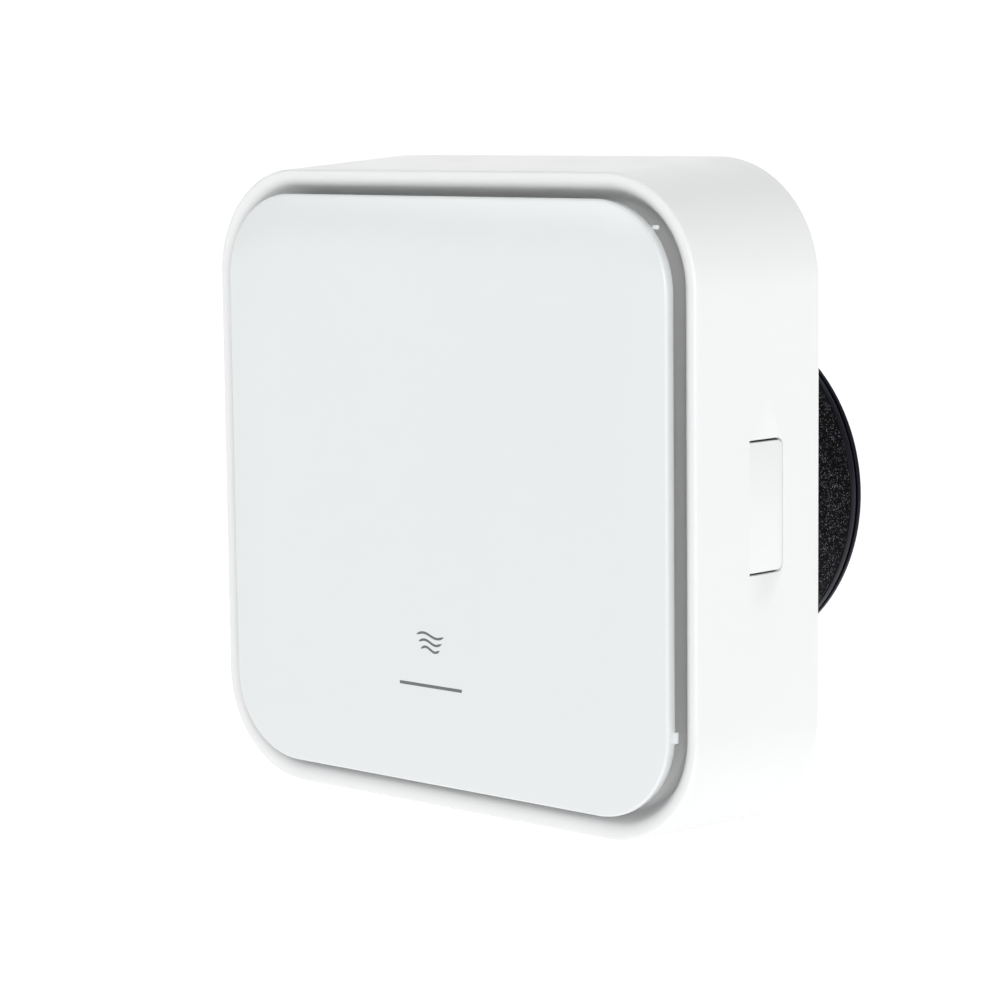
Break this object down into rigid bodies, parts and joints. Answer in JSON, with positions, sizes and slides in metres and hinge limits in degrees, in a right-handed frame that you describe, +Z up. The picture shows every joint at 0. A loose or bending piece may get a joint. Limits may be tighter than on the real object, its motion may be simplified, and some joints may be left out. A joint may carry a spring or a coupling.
{
  "type": "heat recovery unit",
  "caption": "Square wall-mounted ventilation unit with a floating front panel, side press latches and a foam-wrapped round duct that holds a ceramic heat store.",
  "frame": {"origin": "centre of the casing's back plane, on the wall", "axes": "+Z up, front panel facing -Y, duct running along +Y into the wall, +X to the right seen from the front"},
  "size_m": [0.28, 0.197, 0.282],
  "materials": {
    "casing_white": "moulded ABS, satin",
    "panel_gloss": "moulded ABS, high gloss",
    "inner_white": "moulded, fine matte",
    "grey_plastic": "moulded, matte",
    "black_plastic": "moulded, satin",
    "black_foam": "moulded bead foam with a granular skin",
    "gasket_foam": "closed-cell foam strip",
    "galvanised": "zinc-coated sheet",
    "screw_steel": "zinc-plated",
    "shaft_steel": "ground",
    "pleat_paper": "pleated glass-fibre paper",
    "filter_mesh": "woven nylon mesh",
    "filter_felt": "coarse reticulated felt",
    "ceramic": "unglazed extruded ceramic",
    "copper_winding": "enamelled copper",
    "magnet": "sintered ferrite",
    "board_green": "solder-masked laminate",
    "accent_orange": "moulded",
    "accent_blue": "moulded"
  },
  "bodies": {
    "housing": {"wall_gasket": "gasket_foam", "duct_gasket": "gasket_foam", "wall_plate": "galvanised", "latch_catches": "galvanised", "casing": "casing_white", "air_frame": "inner_white", "frame_screws": "screw_steel", "peg_bushes": "inner_white", "filter_gasket": "gasket_foam", "shutter_frame": "grey_plastic", "shutter_screws": "screw_steel", "shutter_motor": "inner_white", "duct_tube": "grey_plastic", "duct_foam": "black_foam", "duct_collar": "black_plastic", "rear_guard": "black_plastic", "outdoor_filter": "filter_felt", "fan_shroud": "grey_plastic", "fan_stator": "copper_winding", "fan_bearings": "shaft_steel", "core_cartridge": "inner_white", "ceramic_core": "ceramic", "core_retainer": "grey_plastic", "core_handle": "accent_orange", "control_box": "inner_white", "control_board": "board_green", "board_parts": "black_plastic", "terminal_block": "accent_orange", "control_cover": "inner_white", "cover_screws": "screw_steel", "air_sensor": "inner_white", "cable_grommet": "black_plastic"},
    "front_panel": {"front_panel": "panel_gloss", "panel_liner": "gasket_foam"},
    "latch_left": {"latch_left": "casing_white"},
    "latch_right": {"latch_right": "casing_white"},
    "filter": {"filter_frame": "inner_white", "filter_media": "pleat_paper", "pre_filter": "filter_mesh", "filter_tab": "accent_blue"},
    "fan": {"fan_rotor": "inner_white", "rotor_magnet": "magnet", "fan_shaft": "shaft_steel"},
    "blade_1": {"shutter_blade_1": "grey_plastic"},
    "blade_2": {"shutter_blade_2": "grey_plastic"},
    "blade_3": {"shutter_blade_3": "grey_plastic"},
    "blade_4": {"shutter_blade_4": "grey_plastic"},
    "link": {"shutter_link": "accent_orange"},
    "button": {"service_button": "accent_blue"}
  },
  "joints": [
    {"name": "panel_pull", "type": "slide", "parent": "housing", "child": "front_panel", "axis": [0, -1, 0], "range_m": [0, 0.045]},
    {"name": "filter_pull", "type": "slide", "parent": "housing", "child": "filter", "axis": [0, -1, 0], "range_m": [0, 0.005]},
    {"name": "latch_right_press", "type": "hinge", "parent": "housing", "child": "latch_right", "pos_m": [0.13615, -0.0433, 0.001], "axis": [0, 0, 1], "range_deg": [0, 4], "stiffness_Nm_per_rad": 2.5},
    {"name": "latch_left_press", "type": "hinge", "parent": "housing", "child": "latch_left", "pos_m": [-0.13615, -0.0433, 0.001], "axis": [0, 0, -1], "range_deg": [0, 4], "stiffness_Nm_per_rad": 2.5},
    {"name": "fan_spin", "type": "hinge", "parent": "housing", "child": "fan", "pos_m": [0, 0.02, -0.014], "axis": [0, 1, 0], "continuous": true},
    {"name": "blade_1_turn", "type": "hinge", "parent": "housing", "child": "blade_1", "pos_m": [0, -0.024, 0.031], "axis": [1, 0, 0], "range_deg": [0, 85]},
    {"name": "blade_2_turn", "type": "hinge", "parent": "housing", "child": "blade_2", "pos_m": [0, -0.024, 0.001], "axis": [1, 0, 0], "range_deg": [0, 85]},
    {"name": "blade_3_turn", "type": "hinge", "parent": "housing", "child": "blade_3", "pos_m": [0, -0.024, -0.029], "axis": [1, 0, 0], "range_deg": [0, 85]},
    {"name": "blade_4_turn", "type": "hinge", "parent": "housing", "child": "blade_4", "pos_m": [0, -0.024, -0.059], "axis": [1, 0, 0], "range_deg": [0, 85]},
    {"name": "link_swing", "type": "hinge", "parent": "blade_1", "child": "link", "pos_m": [0.0761, -0.01736, 0.02492], "axis": [1, 0, 0], "range_deg": [-85, 0]},
    {"name": "button_press", "type": "slide", "parent": "housing", "child": "button", "axis": [0, 1, 0], "range_m": [0, 0.0012], "stiffness_N_per_m": 400}
  ],
  "couplings": [
    {"joint": "blade_2_turn", "follows": "blade_1_turn", "ratio": 1},
    {"joint": "blade_3_turn", "follows": "blade_1_turn", "ratio": 1},
    {"joint": "blade_4_turn", "follows": "blade_1_turn", "ratio": 1},
    {"joint": "link_swing", "follows": "blade_1_turn", "ratio": -1}
  ]
}
